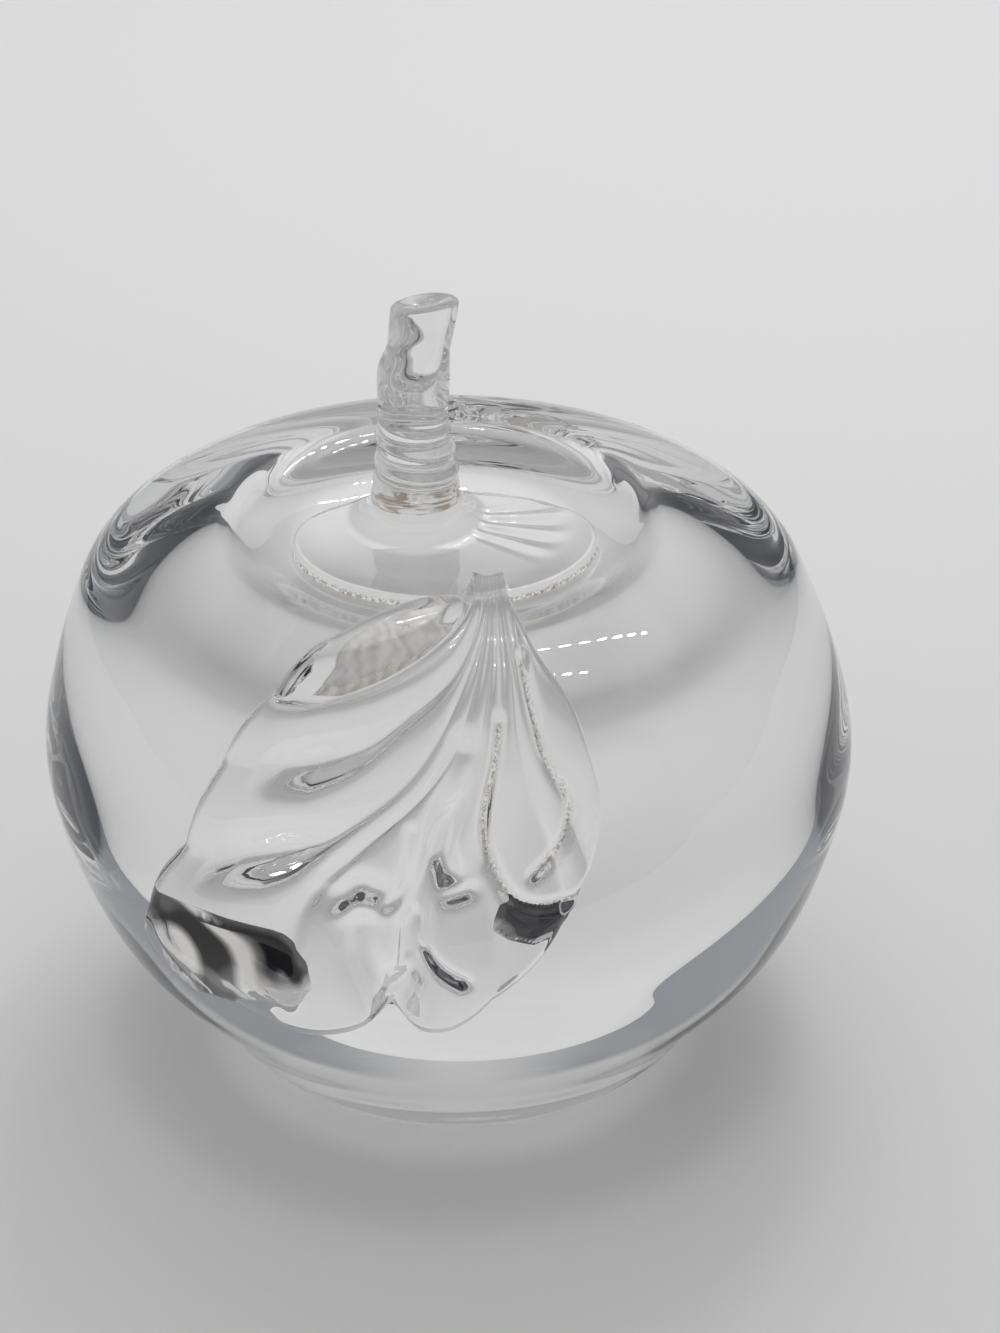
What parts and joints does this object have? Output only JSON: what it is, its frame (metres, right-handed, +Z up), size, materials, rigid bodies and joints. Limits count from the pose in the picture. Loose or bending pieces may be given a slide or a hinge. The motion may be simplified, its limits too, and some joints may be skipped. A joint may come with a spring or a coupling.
{
  "type": "glass apple ornament",
  "caption": "Solid clear glass apple with a shallow dimple, a pulled stem on a thin oval foot, and a fluted glass leaf draped over its shoulder; stands on a ground flat.",
  "frame": {"origin": "middle of the ground flat that the apple stands on", "axes": "+Z up through the apple's middle, -Y to the front where the leaf hangs, +X to the right as seen from the front"},
  "size_m": [0.09, 0.0945, 0.0889],
  "materials": {
    "body_glass": "polished clear crystal, with a finely ground flat underneath",
    "stem_glass": "fire-polished clear crystal with pulled ripples",
    "leaf_glass": "fire-polished clear crystal, tool-pressed flutes"
  },
  "bodies": {
    "root": {"apple_body": "body_glass", "stem": "stem_glass", "leaf": "leaf_glass"}
  },
  "joints": []
}
